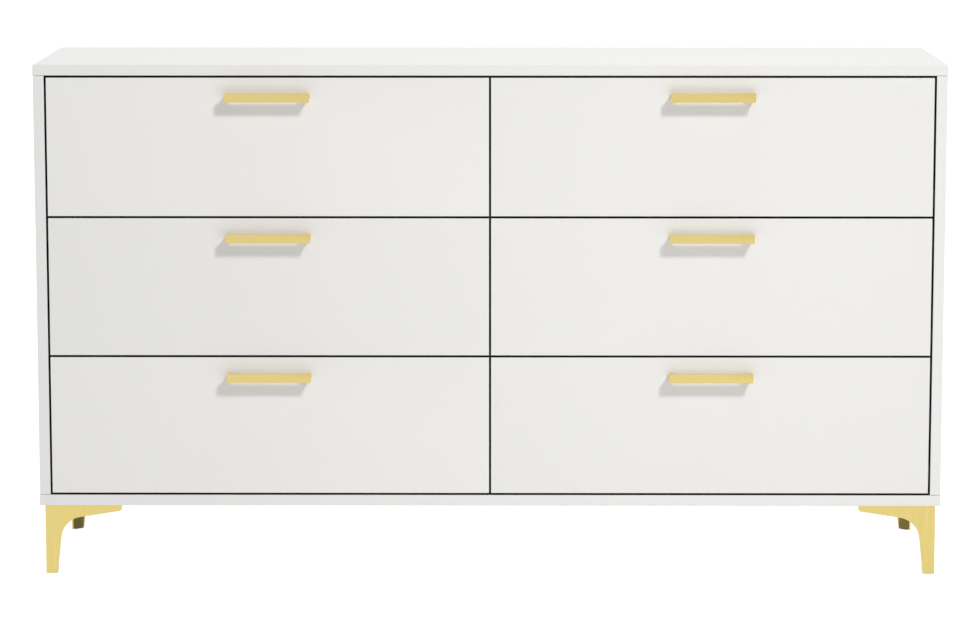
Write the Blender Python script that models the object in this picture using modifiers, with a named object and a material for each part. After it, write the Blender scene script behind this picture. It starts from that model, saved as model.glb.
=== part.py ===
"""Low, wide dresser with three rows of two drawers, on four sheet metal corner legs.

Frame: metres, +Z up. The origin is on the floor, under the middle of the whole object, pulls included.
+X runs along the length and the drawers open towards -Y. Left and right are as seen from the front.
"""

import math

import bmesh
import bpy
from mathutils import Matrix, Vector

# ---------------------------------------------------------------- driving dimensions (metres)
LENGTH = 1.500
CASE_DEPTH = 0.400
CASE_HEIGHT = 0.735
LEG_HEIGHT = 0.117
ROWS = ("bottom", "middle", "top")
COLUMNS = ("left", "right")

BOARD = 0.018               # case panels, divider and drawer fronts
FRONT_GAP = 0.0035          # shown round every drawer front
FIT = 0.0003                # clearance between pieces that touch
SIDE_STEP = 0.0005          # the top and bottom panels overhang the side panels by this much
OVERCUT = 0.001             # how far a cutter reaches past the faces it opens

BACK_SHEET = 0.003          # hardboard of the back
BACK_RECESS = 0.0015        # the back sheets lie this far inside the rear edges
REBATE_WIDTH = 0.009        # how far the rebate runs into the panels
STRIP_WIDTH = 0.024         # H-section strip that joins the two back sheets
STRIP_WALL = 0.0008
STRIP_WEB = 0.0016

DIVIDER_SETBACK = 0.002     # from the back of the drawer fronts to the divider

BOX_BOARD = 0.012           # drawer sides and back
BOX_DEPTH = 0.350
BOX_HEIGHT = 0.170
BOX_LIFT = 0.016            # drawer sides start this far above the lower edge of their front
BOX_BOTTOM = 0.004          # hardboard drawer bottom
BOTTOM_LIFT = 0.010         # underside of the drawer bottom, above the lower edge of the sides
GROOVE_DEPTH = 0.006

SLIDE_SPACE = 0.0127        # room for a slide on each side of a drawer box
RAIL_LENGTH = 0.350
RAIL_HEIGHT = 0.030
RAIL_WIDTH = 0.0092
RAIL_WALL = 0.0012
RAIL_DROP = 0.003           # the rail starts this far below the drawer sides

PULL_LENGTH = 0.139         # 128 mm between the screws
PULL_POST = 0.011
PULL_POST_HEIGHT = 0.008     # lower than the bar
PULL_HEIGHT = 0.015
PULL_REACH = 0.028
PULL_BAR = 0.006
PULL_DROP = 0.031           # from the top edge of the front to the middle of the pull

LEG_INSET = 0.0075          # from the faces of the case
LEG_SHEET = 0.003
LEG_REACH = 0.1285          # length of the flange under the case
LEG_TIP = 0.0102            # height of the flange at its tip
FLANGE_SLOPE = 0.156        # fall of the flange's lower edge
FOOT_WIDTH = 0.0195
FOOT_FLARE = 0.108          # how much the leg widens for each metre upwards
INNER_RADIUS = 0.039        # between leg and flange
TIP_RADIUS = 0.0055
LEG_CORNER_PLATE = 0.024    # width of the mounting plate at the flange tips
INNER_STEPS = 12
TIP_STEPS = 5

# ---------------------------------------------------------------- places worked out from them
TOP = LEG_HEIGHT + CASE_HEIGHT
FRONT_Y = -(CASE_DEPTH + PULL_REACH) / 2 + PULL_REACH
BACK_Y = FRONT_Y + CASE_DEPTH
FRONT_REAR_Y = FRONT_Y + BOARD
CASE_FLOOR = LEG_HEIGHT + BOARD
CASE_CEILING = TOP - BOARD
OPENING_HALF = LENGTH / 2 - BOARD
FRONT_WIDTH = (2 * OPENING_HALF - 3 * FRONT_GAP) / 2
FRONT_HEIGHT = (CASE_CEILING - CASE_FLOOR - (len(ROWS) + 1) * FRONT_GAP) / len(ROWS)
BAY_WIDTH = (2 * OPENING_HALF - BOARD) / 2
BAY_CENTER = (OPENING_HALF + BOARD / 2) / 2
BOX_WIDTH = BAY_WIDTH - 2 * SLIDE_SPACE
BACK_SHEET_Y = BACK_Y - BACK_RECESS - BACK_SHEET


def clear_scene():
    for item in list(bpy.data.objects):
        bpy.data.objects.remove(item, do_unlink=True)


def new_collection(name):
    collection = bpy.data.collections.new(name)
    bpy.context.scene.collection.children.link(collection)
    return collection


def finish(name, color, roughness, metallic=0.0):
    """A plain Principled material."""
    material = bpy.data.materials.new(name)
    material.use_nodes = True
    shader = material.node_tree.nodes["Principled BSDF"]
    shader.inputs["Base Color"].default_value = (*color, 1.0)
    shader.inputs["Roughness"].default_value = roughness
    shader.inputs["Metallic"].default_value = metallic
    return material


FINISHES = {
    "white_lacquer": ((0.83, 0.82, 0.79), 0.35, 0.0),
    "drawer_board": ((0.78, 0.76, 0.72), 0.50, 0.0),
    "back_board": ((0.70, 0.67, 0.61), 0.60, 0.0),
    "gold_metal": ((0.80, 0.62, 0.26), 0.32, 1.0),
    "slide_steel": ((0.80, 0.80, 0.79), 0.40, 0.0),
    "strip_plastic": ((0.82, 0.82, 0.80), 0.45, 0.0),
}


def add_object(name, data, finish_name, location=(0, 0, 0), parent=None):
    """Link an object to the dresser; its material is its own copy of the finish."""
    item = bpy.data.objects.new(name, data)
    data.materials.append(finish(name, *FINISHES[finish_name]))
    DRESSER.objects.link(item)
    item.location = location
    item.parent = parent
    return item


def box_mesh(name, size):
    mesh = bpy.data.meshes.new(name)
    bm = bmesh.new()
    bmesh.ops.create_cube(bm, size=1.0)
    bmesh.ops.scale(bm, vec=Vector(size), verts=bm.verts)
    bm.to_mesh(mesh)
    bm.free()
    return mesh


def add_board(name, low, high, finish_name, parent=None):
    """A rectangular board between two corners, given in its parent's space."""
    low, high = Vector(low), Vector(high)
    mesh = box_mesh(name, high - low)
    return add_object(name, mesh, finish_name, (low + high) / 2, parent)


def cut_slot(board, low, high):
    """Cut a rectangular slot, given in the space of the board's parent."""
    low, high = Vector(low), Vector(high)
    cutter = bpy.data.objects.new(board.name + "_cutter", box_mesh("cutter", high - low))
    CUTTERS.objects.link(cutter)
    cutter.location = (low + high) / 2
    cutter.parent = board.parent
    cutter.hide_render = True
    cutter.display_type = "WIRE"
    slot = board.modifiers.new("slot", "BOOLEAN")
    slot.operation = "DIFFERENCE"
    slot.object = cutter


def add_profile(name, outline, thickness, finish_name, parent=None):
    """A flat outline in local XY, thickened evenly about local Z = 0."""
    curve = bpy.data.curves.new(name, "CURVE")
    curve.dimensions = "2D"
    curve.fill_mode = "BOTH"
    curve.extrude = thickness / 2
    spline = curve.splines.new("POLY")
    spline.points.add(len(outline) - 1)
    for point, (x, y) in zip(spline.points, outline):
        point.co = (x, y, 0, 1)
    spline.use_cyclic_u = True
    return add_object(name, curve, finish_name, parent=parent)


# ---------------------------------------------------------------- the case

def build_panels():
    half = LENGTH / 2
    side_half = half - SIDE_STEP
    back_low = BACK_SHEET_Y - FIT
    cut_past = BACK_Y + OVERCUT
    notch_half = OPENING_HALF + REBATE_WIDTH

    top = add_board("top_panel", (-half, FRONT_Y, CASE_CEILING), (half, BACK_Y, TOP), "white_lacquer")
    cut_slot(top, (-notch_half, back_low, CASE_CEILING - OVERCUT),
             (notch_half, cut_past, CASE_CEILING + REBATE_WIDTH))
    bottom = add_board("bottom_panel", (-half, FRONT_Y, LEG_HEIGHT), (half, BACK_Y, CASE_FLOOR),
                       "white_lacquer")
    cut_slot(bottom, (-notch_half, back_low, CASE_FLOOR - REBATE_WIDTH),
             (notch_half, cut_past, CASE_FLOOR + OVERCUT))

    for side, sign in (("left", -1), ("right", 1)):
        inner, outer = sorted((sign * OPENING_HALF, sign * side_half))
        panel = add_board(side + "_side_panel", (inner, FRONT_Y, CASE_FLOOR + FIT),
                          (outer, BACK_Y, CASE_CEILING - FIT), "white_lacquer")
        near, far = sorted((sign * (OPENING_HALF - OVERCUT), sign * notch_half))
        cut_slot(panel, (near, back_low, CASE_FLOOR - OVERCUT), (far, cut_past, CASE_CEILING + OVERCUT))

    strip_front = BACK_SHEET_Y - FIT - STRIP_WALL
    add_board("center_divider", (-BOARD / 2, FRONT_REAR_Y + DIVIDER_SETBACK, CASE_FLOOR + FIT),
              (BOARD / 2, strip_front - FIT, CASE_CEILING - FIT), "white_lacquer")


def build_back():
    low_z = CASE_FLOOR - REBATE_WIDTH + FIT
    high_z = CASE_CEILING + REBATE_WIDTH - FIT
    outer = OPENING_HALF + REBATE_WIDTH - FIT
    inner = STRIP_WEB / 2 + FIT
    for side, sign in (("left", -1), ("right", 1)):
        near, far = sorted((sign * inner, sign * outer))
        add_board("back_panel_" + side, (near, BACK_SHEET_Y, low_z),
                  (far, BACK_SHEET_Y + BACK_SHEET, high_z), "back_board")

    # H section, drawn in plan: the sheets slide into its two mouths.
    flange = STRIP_WIDTH / 2
    web = STRIP_WEB / 2
    mouth = BACK_SHEET / 2 + FIT
    face = mouth + STRIP_WALL
    outline = [(-flange, -face), (flange, -face), (flange, -mouth), (web, -mouth), (web, mouth),
               (flange, mouth), (flange, face), (-flange, face), (-flange, mouth), (-web, mouth),
               (-web, -mouth), (-flange, -mouth)]
    strip_low = CASE_FLOOR + FIT
    strip_high = CASE_CEILING - FIT
    strip = add_profile("back_joint_strip", outline, strip_high - strip_low, "strip_plastic")
    strip.location = (0, BACK_SHEET_Y + BACK_SHEET / 2, (strip_low + strip_high) / 2)


def arc_between(start, corner, end, radius, steps):
    """Points of the arc that rounds a corner between two straight edges."""
    start, corner, end = Vector(start), Vector(corner), Vector(end)
    to_start = (start - corner).normalized()
    to_end = (end - corner).normalized()
    half_angle = to_start.angle(to_end) / 2
    bisector = (to_start + to_end).normalized()
    center = corner + bisector * (radius / math.sin(half_angle))
    first = corner + to_start * (radius / math.tan(half_angle)) - center
    turn = to_start.angle(to_end) - math.pi
    if to_start.cross(to_end) < 0:
        turn = -turn
    points = []
    for step in range(steps + 1):
        angle = turn * step / steps
        points.append(center + Matrix.Rotation(angle, 2) @ first)
    return points


def leg_outline():
    """Half of a leg, flat: x from the bend, y up from the mounting face. Starts at the bend's top."""
    foot = Vector((FOOT_WIDTH, -LEG_HEIGHT + FIT))
    tip = Vector((LEG_REACH, -LEG_TIP))
    tip_top = Vector((LEG_REACH, 0))
    # The leg's inner edge and the flange's lower edge are straight, and would meet at this corner.
    corner_height = LEG_HEIGHT - LEG_TIP - FLANGE_SLOPE * (LEG_REACH - FOOT_WIDTH)
    corner_height /= 1 - FLANGE_SLOPE * FOOT_FLARE
    corner = Vector((FOOT_WIDTH + FOOT_FLARE * corner_height, corner_height - LEG_HEIGHT))
    outline = [Vector((0, 0)), Vector((0, foot.y)), foot]
    outline += arc_between(foot, corner, tip, INNER_RADIUS, INNER_STEPS)
    outline += arc_between(corner, tip, tip_top, TIP_RADIUS, TIP_STEPS)
    outline.append(tip_top)
    return outline


def build_leg(name, x_sign, y_sign, corner):
    """A sheet bent round the case's corner, with a mounting plate folded in under the case."""
    mesh = bpy.data.meshes.new(name)
    bm = bmesh.new()
    outline = leg_outline()
    front = [bm.verts.new((p.x, 0, p.y)) for p in outline]
    side = front[:2] + [bm.verts.new((0, p.x, p.y)) for p in outline[2:]]
    bm.faces.new(front)
    bm.faces.new(reversed(side))
    plate = [front[0], front[-1], bm.verts.new((LEG_REACH, LEG_CORNER_PLATE, 0)),
             bm.verts.new((LEG_CORNER_PLATE, LEG_REACH, 0)), side[-1]]
    bm.faces.new(plate)
    bmesh.ops.scale(bm, vec=Vector((x_sign, y_sign, 1)), verts=bm.verts)
    if x_sign * y_sign < 0:
        bmesh.ops.reverse_faces(bm, faces=bm.faces)
    bm.to_mesh(mesh)
    bm.free()
    leg = add_object(name, mesh, "gold_metal", corner)
    sheet = leg.modifiers.new("sheet", "SOLIDIFY")
    sheet.thickness = LEG_SHEET
    sheet.offset = -1
    sheet.use_even_offset = True
    return leg


def build_legs():
    x = LENGTH / 2 - LEG_INSET
    z = LEG_HEIGHT - FIT
    for end, y, y_sign in (("front", FRONT_Y + LEG_INSET, 1), ("back", BACK_Y - LEG_INSET, -1)):
        build_leg(end + "_left_leg", 1, y_sign, (-x, y, z))
        build_leg(end + "_right_leg", -1, y_sign, (x, y, z))


# ---------------------------------------------------------------- drawers and their rails

def front_low_z(row):
    return CASE_FLOOR + FRONT_GAP + ROWS.index(row) * (FRONT_HEIGHT + FRONT_GAP)


def build_rail(name, wall_x, mouth_sign, low_z):
    """A C channel on a case wall, its mouth towards the drawer."""
    half = RAIL_HEIGHT / 2
    web = RAIL_WALL
    reach = RAIL_WIDTH
    outline = [(0, -half), (reach, -half), (reach, web - half), (web, web - half),
               (web, half - web), (reach, half - web), (reach, half), (0, half)]
    if mouth_sign < 0:
        outline = [(-x, z) for x, z in reversed(outline)]
    rail = add_profile(name, outline, RAIL_LENGTH, "slide_steel")
    rail.rotation_euler = (math.pi / 2, 0, 0)
    rear_y = FRONT_REAR_Y + DIVIDER_SETBACK + RAIL_LENGTH
    rail.location = (wall_x + mouth_sign * FIT, rear_y - RAIL_LENGTH / 2, low_z + half)


def build_rails(row, column, sign):
    rail_low = front_low_z(row) + BOX_LIFT - RAIL_DROP
    for side, mouth_sign in (("left", 1), ("right", -1)):
        wall_x = sign * BAY_CENTER - mouth_sign * BAY_WIDTH / 2
        build_rail(f"{row}_{column}_bay_{side}_rail", wall_x, mouth_sign, rail_low)


def build_pull(name, parent, height):
    """A flat bar on two lower posts at its ends, cut from one block; height is the bar's middle."""
    half = PULL_LENGTH / 2
    inner = half - PULL_POST
    inner_y = PULL_BAR - PULL_REACH
    low = height - PULL_HEIGHT / 2
    high = height + PULL_HEIGHT / 2
    post_low = height - PULL_POST_HEIGHT / 2
    post_high = height + PULL_POST_HEIGHT / 2
    pull = add_board(name, (-half, -PULL_REACH, low), (half, -FIT, high), "gold_metal", parent)
    cut_slot(pull, (-inner, inner_y, low - OVERCUT), (inner, OVERCUT, high + OVERCUT))
    cut_slot(pull, (-half - OVERCUT, inner_y, post_high), (half + OVERCUT, OVERCUT, high + OVERCUT))
    cut_slot(pull, (-half - OVERCUT, inner_y, low - OVERCUT), (half + OVERCUT, OVERCUT, post_low))


def build_drawer(row, column, sign):
    """One drawer, placed by an empty on its slide axis: middle of the front's face, lower edge."""
    name = f"{row}_{column}"
    slide_axis = bpy.data.objects.new(name + "_drawer_axis", None)
    DRESSER.objects.link(slide_axis)
    front_x = sign * (FRONT_WIDTH + FRONT_GAP) / 2
    slide_axis.location = (front_x, FRONT_Y, front_low_z(row))

    half_front = FRONT_WIDTH / 2
    box_shift = sign * BAY_CENTER - front_x
    box_half = BOX_WIDTH / 2
    inner_half = box_half - BOX_BOARD
    side_start = BOARD + FIT
    box_end = BOARD + BOX_DEPTH
    box_low = BOX_LIFT
    box_high = BOX_LIFT + BOX_HEIGHT
    sheet_low = box_low + BOTTOM_LIFT
    sheet_high = sheet_low + BOX_BOTTOM
    sheet_half = inner_half + GROOVE_DEPTH - FIT
    groove_low = sheet_low - FIT
    groove_high = sheet_high + FIT

    front = add_board(name + "_drawer_front", (-half_front, 0, 0), (half_front, BOARD, FRONT_HEIGHT),
                      "white_lacquer", slide_axis)
    cut_slot(front, (box_shift - inner_half - GROOVE_DEPTH, BOARD - GROOVE_DEPTH, groove_low),
             (box_shift + inner_half + GROOVE_DEPTH, BOARD + OVERCUT, groove_high))

    for side, side_sign in (("left", -1), ("right", 1)):
        near, far = sorted((side_sign * inner_half, side_sign * box_half))
        board = add_board(f"{name}_drawer_{side}_side", (box_shift + near, side_start, box_low),
                          (box_shift + far, box_end, box_high), "drawer_board", slide_axis)
        mouth, floor = sorted((side_sign * (inner_half - OVERCUT), side_sign * (inner_half + GROOVE_DEPTH)))
        cut_slot(board, (box_shift + mouth, side_start - OVERCUT, groove_low),
                 (box_shift + floor, box_end + OVERCUT, groove_high))

    # The bottom slides in from behind, under the back board.
    back_half = inner_half - FIT
    add_board(name + "_drawer_back", (box_shift - back_half, box_end - BOX_BOARD, groove_high),
              (box_shift + back_half, box_end, box_high), "drawer_board", slide_axis)
    add_board(name + "_drawer_bottom", (box_shift - sheet_half, BOARD - GROOVE_DEPTH + FIT, sheet_low),
              (box_shift + sheet_half, box_end, sheet_high), "back_board", slide_axis)
    build_pull(name + "_handle", slide_axis, FRONT_HEIGHT - PULL_DROP)


clear_scene()
DRESSER = new_collection("dresser")
CUTTERS = new_collection("cutters")
build_panels()
build_back()
build_legs()
for row_name in ROWS:
    for column_name, column_sign in zip(COLUMNS, (-1, 1)):
        build_rails(row_name, column_name, column_sign)
        build_drawer(row_name, column_name, column_sign)
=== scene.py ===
# %% [markdown]
# # A white dresser with gold pulls and legs
#
# This lesson dresses a finished CAD model of a low six-drawer dresser. The CAD model says where every
# board, rail, pull and leg is, and how the drawers slide. What it lacks is everything that makes the
# dresser look bought rather than drawn: rounded edges, screws, rollers, and finishes with a grain.
# We start by loading the CAD frame. Everything below takes its place from it, in metres, with the
# front of the dresser facing -Y and the floor at Z = 0.

# %% Load the frame
import math

import bmesh
import bpy
from mathutils import Matrix, Vector


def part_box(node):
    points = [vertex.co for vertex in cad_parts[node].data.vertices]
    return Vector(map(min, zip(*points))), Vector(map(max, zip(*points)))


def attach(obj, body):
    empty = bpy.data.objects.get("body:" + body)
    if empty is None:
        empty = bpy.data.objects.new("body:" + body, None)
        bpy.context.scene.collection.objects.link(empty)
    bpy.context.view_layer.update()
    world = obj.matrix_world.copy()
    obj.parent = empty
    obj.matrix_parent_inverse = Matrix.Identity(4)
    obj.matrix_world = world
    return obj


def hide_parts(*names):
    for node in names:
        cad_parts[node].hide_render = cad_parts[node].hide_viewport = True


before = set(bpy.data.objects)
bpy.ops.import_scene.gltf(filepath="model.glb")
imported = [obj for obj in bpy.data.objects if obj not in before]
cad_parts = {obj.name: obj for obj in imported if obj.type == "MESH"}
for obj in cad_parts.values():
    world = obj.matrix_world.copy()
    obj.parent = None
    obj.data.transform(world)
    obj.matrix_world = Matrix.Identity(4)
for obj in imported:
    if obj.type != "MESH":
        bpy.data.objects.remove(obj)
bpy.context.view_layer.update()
ROWS = ("bottom", "middle", "top")
COLUMNS = ("left", "right")
DRAWERS = [f"{row}_{column}" for row in ROWS for column in COLUMNS]
SIDES = (("left", -1), ("right", 1))

# %% [markdown]
# ## Node groups: effects that several finishes share
#
# Real surfaces are never one flat value. A sprayed lacquer has a faint ripple, a brushed metal has
# fine lines, and every board drifts a little in tone. Each of those effects could be wired up again in
# every material. A node group is built once instead, with named sockets, and each material places it
# with its own numbers. The groups only put out values and colours, never a finished shader.


# %% A helper that makes an empty group with its sockets
def new_group(name, inputs, outputs):
    group = bpy.data.node_groups.new(name, "ShaderNodeTree")
    for socket, kind, value in inputs:
        made = group.interface.new_socket(socket, in_out="INPUT", socket_type=kind)
        made.default_value = value
    for socket, kind in outputs:
        group.interface.new_socket(socket, in_out="OUTPUT", socket_type=kind)
    group.nodes.new("NodeGroupInput")
    group.nodes.new("NodeGroupOutput")
    return group


def add_node(tree, kind, settings=None, **values):
    """A new node; settings are its properties, and values its sockets, with _ for a space."""
    node = tree.nodes.new(kind)
    for key, value in (settings or {}).items():
        setattr(node, key, value)
    for key, value in values.items():
        node.inputs[key.replace("_", " ")].default_value = value
    return node


FLOAT, COLOR, VECTOR = "NodeSocketFloat", "NodeSocketColor", "NodeSocketVector"

# %% [markdown]
# ### Spray ripple
#
# Sprayed lacquer and powder coat dry with a soft ripple, a millimetre or two across. It could be
# displaced geometry, but at a few microns high it only ever shows in reflections, so a height for a
# Bump node is the right size of tool. Two noises, one coarse and one fine, keep it from looking even.


# %% Ripple group
def build_ripple():
    group = new_group("spray_ripple", [("Cell Size", FLOAT, 0.002), ("Fine Share", FLOAT, 0.25)],
                      [("Height", FLOAT)])
    source, result = group.nodes["Group Input"], group.nodes["Group Output"]
    place = add_node(group, "ShaderNodeTexCoord")
    scale = add_node(group, "ShaderNodeMath", {"operation": "DIVIDE"})
    scale.inputs[0].default_value = 1.0
    coarse = add_node(group, "ShaderNodeTexNoise", Detail=1.0, Roughness=0.4)
    finer = add_node(group, "ShaderNodeMath", {"operation": "MULTIPLY"})
    finer.inputs[1].default_value = 4.3
    fine = add_node(group, "ShaderNodeTexNoise", Detail=2.0, Roughness=0.6)
    mix = add_node(group, "ShaderNodeMix")
    link = group.links.new
    link(source.outputs["Cell Size"], scale.inputs[1])
    link(scale.outputs[0], coarse.inputs["Scale"])
    link(scale.outputs[0], finer.inputs[0])
    link(finer.outputs[0], fine.inputs["Scale"])
    link(place.outputs["Object"], coarse.inputs["Vector"])
    link(place.outputs["Object"], fine.inputs["Vector"])
    link(source.outputs["Fine Share"], mix.inputs["Factor"])
    link(coarse.outputs["Fac"], mix.inputs["A"])
    link(fine.outputs["Fac"], mix.inputs["B"])
    link(mix.outputs["Result"], result.inputs["Height"])
    return group


SPRAY_RIPPLE = build_ripple()
print("group", SPRAY_RIPPLE.name, [item.name for item in SPRAY_RIPPLE.interface.items_tree])

# %% [markdown]
# ### Tone drift
#
# Two boards from one pack never match exactly, and light polish changes the gloss in patches. This
# group drifts a colour and a roughness by a small share over a few hand-widths. It returns both, so
# that the patches of tone and the patches of gloss fall in the same places, as they do on real boards.


# %% Tone group
def build_tone_drift():
    group = new_group("tone_drift",
                      [("Color", COLOR, (0.8, 0.8, 0.8, 1)), ("Patch Size", FLOAT, 0.25),
                       ("Color Drift", FLOAT, 0.03), ("Roughness", FLOAT, 0.4),
                       ("Roughness Drift", FLOAT, 0.05)],
                      [("Color", COLOR), ("Roughness", FLOAT), ("Patches", FLOAT)])
    source, result = group.nodes["Group Input"], group.nodes["Group Output"]
    place = add_node(group, "ShaderNodeTexCoord")
    scale = add_node(group, "ShaderNodeMath", {"operation": "DIVIDE"})
    scale.inputs[0].default_value = 1.0
    noise = add_node(group, "ShaderNodeTexNoise", Detail=5.0, Roughness=0.55)
    centre = add_node(group, "ShaderNodeMath", {"operation": "SUBTRACT"})
    centre.inputs[1].default_value = 0.5
    value = add_node(group, "ShaderNodeMath", {"operation": "MULTIPLY_ADD"})
    value.inputs[2].default_value = 1.0
    tint = add_node(group, "ShaderNodeHueSaturation")
    rough = add_node(group, "ShaderNodeMath", {"operation": "MULTIPLY_ADD", "use_clamp": True})
    link = group.links.new
    link(source.outputs["Patch Size"], scale.inputs[1])
    link(scale.outputs[0], noise.inputs["Scale"])
    link(place.outputs["Object"], noise.inputs["Vector"])
    link(noise.outputs["Fac"], centre.inputs[0])
    link(centre.outputs[0], value.inputs[0])
    link(source.outputs["Color Drift"], value.inputs[1])
    link(source.outputs["Color"], tint.inputs["Color"])
    link(value.outputs[0], tint.inputs["Value"])
    link(centre.outputs[0], rough.inputs[0])
    link(source.outputs["Roughness Drift"], rough.inputs[1])
    link(source.outputs["Roughness"], rough.inputs[2])
    link(tint.outputs["Color"], result.inputs["Color"])
    link(rough.outputs[0], result.inputs["Roughness"])
    link(noise.outputs["Fac"], result.inputs["Patches"])
    return group


TONE_DRIFT = build_tone_drift()
print("group", TONE_DRIFT.name, len(TONE_DRIFT.nodes), "nodes")

# %% [markdown]
# ### Drawn-out lines
#
# Brushed metal, wood pores and pressed fibre are one idea: noise pulled long in one direction. A
# Mapping node does the pulling. The group takes the size of one mark along X, Y and Z, so that the
# pulls can be brushed along their bar, the legs down their length, and the boards along their grain.


# %% Lines group
def build_drawn_lines():
    group = new_group("drawn_lines", [("Mark Size", VECTOR, (0.05, 0.0005, 0.0005)),
                                      ("Contrast", FLOAT, 0.5)], [("Lines", FLOAT)])
    source, result = group.nodes["Group Input"], group.nodes["Group Output"]
    place = add_node(group, "ShaderNodeTexCoord")
    stretch = add_node(group, "ShaderNodeVectorMath", {"operation": "DIVIDE"})
    noise = add_node(group, "ShaderNodeTexNoise", Scale=1.0, Detail=4.0, Roughness=0.65)
    centre = add_node(group, "ShaderNodeMath", {"operation": "SUBTRACT"})
    centre.inputs[1].default_value = 0.5
    spread = add_node(group, "ShaderNodeMath", {"operation": "MULTIPLY_ADD", "use_clamp": True})
    spread.inputs[2].default_value = 0.5
    link = group.links.new
    link(place.outputs["Object"], stretch.inputs[0])
    link(source.outputs["Mark Size"], stretch.inputs[1])
    link(stretch.outputs["Vector"], noise.inputs["Vector"])
    link(noise.outputs["Fac"], centre.inputs[0])
    link(centre.outputs[0], spread.inputs[0])
    link(source.outputs["Contrast"], spread.inputs[1])
    link(spread.outputs[0], result.inputs["Lines"])
    return group


DRAWN_LINES = build_drawn_lines()
print("group", DRAWN_LINES.name, len(DRAWN_LINES.nodes), "nodes")

# %% [markdown]
# ### Rubbed edges and edge highlights
#
# Edges are where hands, cloths and packing foam touch first, so they end up a little worn and smoother.
# This group paints them a little lighter, which stands partly for that wear and partly for a painted
# highlight along the rounded edge. Cycles knows how sharply the mesh turns at each point: Geometry's
# Pointiness is above 0.5 on a ridge. That works here because every piece gets real, rounded edges below.


# %% Edge wear and highlight group
def build_rubbed_edge_and_highlight():
    group = new_group("rubbed_edge_and_highlight", [("Color", COLOR, (0.8, 0.8, 0.8, 1)),
                                      ("Edge Color", COLOR, (1, 1, 1, 1)), ("Amount", FLOAT, 0.5)],
                      [("Color", COLOR), ("Mask", FLOAT)])
    source, result = group.nodes["Group Input"], group.nodes["Group Output"]
    shape = add_node(group, "ShaderNodeNewGeometry")
    # Ridges get the lighter edge colour: partly wear, partly a painted highlight.
    ridge = add_node(group, "ShaderNodeMapRange", From_Min=0.52, From_Max=0.62)
    amount = add_node(group, "ShaderNodeMath", {"operation": "MULTIPLY", "use_clamp": True})
    mix = add_node(group, "ShaderNodeMix", {"data_type": "RGBA"})
    color_a, color_b = mix.inputs[6], mix.inputs[7]
    link = group.links.new
    link(shape.outputs["Pointiness"], ridge.inputs["Value"])
    link(ridge.outputs["Result"], amount.inputs[0])
    link(source.outputs["Amount"], amount.inputs[1])
    link(amount.outputs[0], mix.inputs["Factor"])
    link(source.outputs["Color"], color_a)
    link(source.outputs["Edge Color"], color_b)
    link(mix.outputs[2], result.inputs["Color"])
    link(amount.outputs[0], result.inputs["Mask"])
    return group


RUBBED_EDGE_AND_HIGHLIGHT = build_rubbed_edge_and_highlight()
print("group", RUBBED_EDGE_AND_HIGHLIGHT.name, len(RUBBED_EDGE_AND_HIGHLIGHT.nodes), "nodes")

# %% [markdown]
# ### Painted shade in the gaps
#
# The gaps round the drawers are a few millimetres wide and as deep as the board. This group paints
# shade into the colour there, nearly black, so that the gaps read as black lines. The Ambient Occlusion
# node measures how much of each point's surroundings is blocked nearby. Only points inside a closed gap
# pass the threshold, so an opened drawer shows clean white edges again.


# %% Painted gap shade group
def build_gap_painted_shade():
    group = new_group("gap_painted_shade", [("Color", COLOR, (0.8, 0.8, 0.8, 1)),
                                    ("Gap Color", COLOR, (0.01, 0.01, 0.01, 1)), ("Reach", FLOAT, 0.02)],
                      [("Color", COLOR), ("Mask", FLOAT)])
    source, result = group.nodes["Group Input"], group.nodes["Group Output"]
    # Painted shade: where nearby parts block enough, the colour is pulled towards the near-black shade
    # colour.
    blocked = add_node(group, "ShaderNodeAmbientOcclusion", {"samples": 8})
    depth = add_node(group, "ShaderNodeMapRange", From_Min=0.46, From_Max=0.30)
    mix = add_node(group, "ShaderNodeMix", {"data_type": "RGBA"})
    link = group.links.new
    link(source.outputs["Reach"], blocked.inputs["Distance"])
    link(blocked.outputs["AO"], depth.inputs["Value"])
    link(depth.outputs["Result"], mix.inputs["Factor"])
    link(source.outputs["Color"], mix.inputs[6])
    link(source.outputs["Gap Color"], mix.inputs[7])
    link(mix.outputs[2], result.inputs["Color"])
    link(depth.outputs["Result"], result.inputs["Mask"])
    return group


GAP_PAINTED_SHADE = build_gap_painted_shade()
print("group", GAP_PAINTED_SHADE.name, len(GAP_PAINTED_SHADE.nodes), "nodes")

# %% [markdown]
# ## Finishes
#
# Each finish is one material: a Principled BSDF with a few of the groups above feeding its colour,
# roughness and bump. The helper below makes the shader and the wires that every finish shares, and
# constants such as the metallic value are set straight on the shader.


# %% Helpers for finishes
def new_finish(name, **constants):
    """An empty material with a Principled BSDF whose fixed sockets are set."""
    material = bpy.data.materials.new(name)
    material.use_nodes = True
    shader = material.node_tree.nodes["Principled BSDF"]
    for key, value in constants.items():
        shader.inputs[key.replace("_", " ")].default_value = value
    return material, material.node_tree, shader


def place_group(tree, group, **values):
    node = tree.nodes.new("ShaderNodeGroup")
    node.node_tree = group
    for key, value in values.items():
        node.inputs[key.replace("_", " ")].default_value = value
    return node


def bump_from(tree, height, shader, depth):
    """Feed a height, in units of depth metres, to the shader's normal."""
    bump = add_node(tree, "ShaderNodeBump", Strength=1.0, Distance=depth)
    tree.links.new(height, bump.inputs["Height"])
    tree.links.new(bump.outputs["Normal"], shader.inputs["Normal"])


# %% [markdown]
# ### White satin lacquer
#
# The case and the drawer fronts are board sprayed a slightly warm white. In the light it reads as
# almost flat, so the finish has to stay quiet: a small drift in tone and gloss, a ripple two
# millimetres across, and a thin clear coat that gives the satin its soft shine.


# %% White lacquer
COAT_MOST = 0.35
COAT_RIPPLE = 0.00002


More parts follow.
